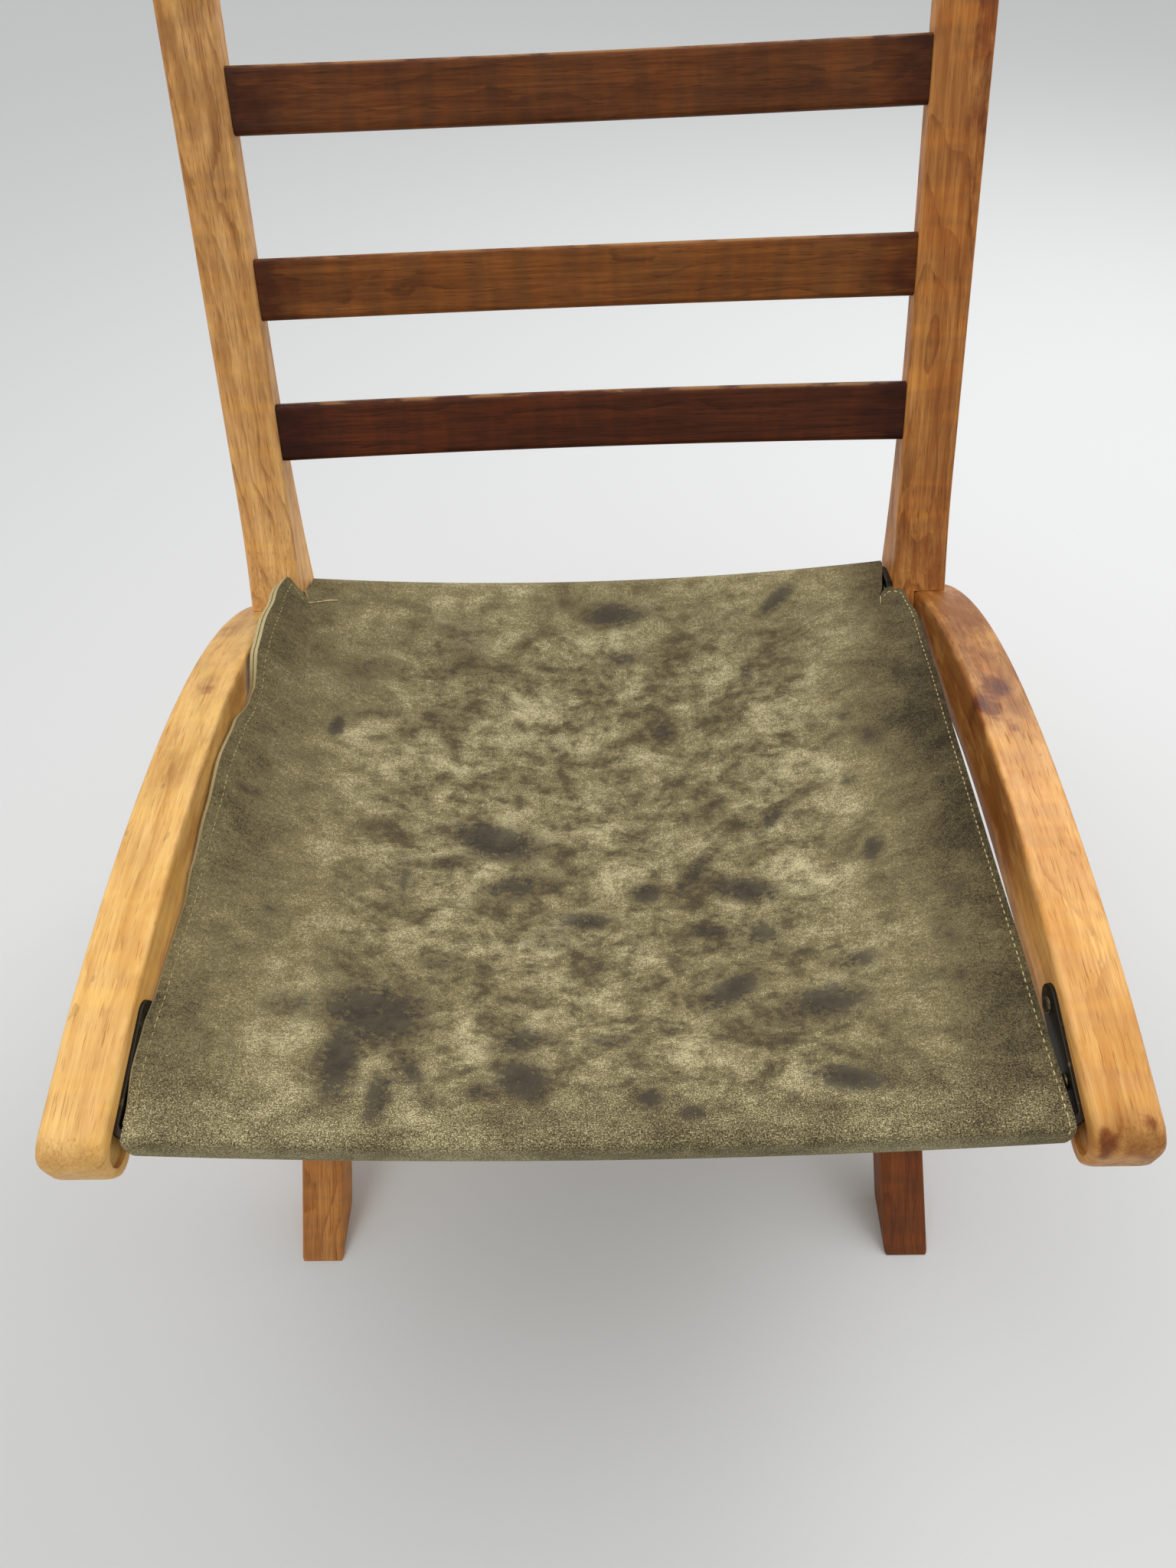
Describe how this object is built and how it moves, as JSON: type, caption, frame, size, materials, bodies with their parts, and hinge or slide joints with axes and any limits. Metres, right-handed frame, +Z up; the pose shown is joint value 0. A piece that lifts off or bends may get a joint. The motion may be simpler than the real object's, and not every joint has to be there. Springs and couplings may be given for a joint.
{
  "type": "sling_ladder_back_chair",
  "caption": "Low wooden lounge chair with leaning ladder back, bent side rails that run down into the rear legs, and an olive suede sling seat.",
  "frame": {"origin": "centre of the footprint, on the floor", "axes": "+X to the chair's left hand as it is sat in, +Y from the front of the seat to the back, +Z up"},
  "size_m": [0.6454, 0.8158, 0.8951],
  "materials": {
    "rail_wood": "oiled honey coloured hardwood, satin",
    "post_wood": "oiled figured hardwood, satin",
    "leg_wood": "oiled reddish hardwood, satin",
    "slat_wood": "oiled dark red-brown hardwood, satin",
    "black_steel": "blackened flat steel, slightly glossy",
    "olive_suede": "stained suede, rough nap"
  },
  "bodies": {
    "root": {"side_rail_left": "rail_wood", "back_post_left": "post_wood", "front_leg_left": "leg_wood", "side_rail_right": "rail_wood", "back_post_right": "post_wood", "front_leg_right": "leg_wood", "back_slat_lower": "slat_wood", "back_slat_middle": "slat_wood", "back_slat_upper": "slat_wood", "front_bar": "black_steel", "rear_bar": "black_steel", "seat_sling": "olive_suede", "front_bar_screw_1_left": "black_steel", "rear_bar_screw_1_left": "black_steel", "front_bar_screw_2_left": "black_steel", "rear_bar_screw_2_left": "black_steel", "frame_bolt_1_left": "black_steel", "frame_washer_1_left": "black_steel", "frame_nut_1_left": "black_steel", "frame_bolt_2_left": "black_steel", "frame_washer_2_left": "black_steel", "frame_nut_2_left": "black_steel", "frame_bolt_3_left": "black_steel", "frame_washer_3_left": "black_steel", "frame_nut_3_left": "black_steel", "front_bar_screw_1_right": "black_steel", "rear_bar_screw_1_right": "black_steel", "front_bar_screw_2_right": "black_steel", "rear_bar_screw_2_right": "black_steel", "frame_bolt_1_right": "black_steel", "frame_washer_1_right": "black_steel", "frame_nut_1_right": "black_steel", "frame_bolt_2_right": "black_steel", "frame_washer_2_right": "black_steel", "frame_nut_2_right": "black_steel", "frame_bolt_3_right": "black_steel", "frame_washer_3_right": "black_steel", "frame_nut_3_right": "black_steel"}
  },
  "joints": []
}
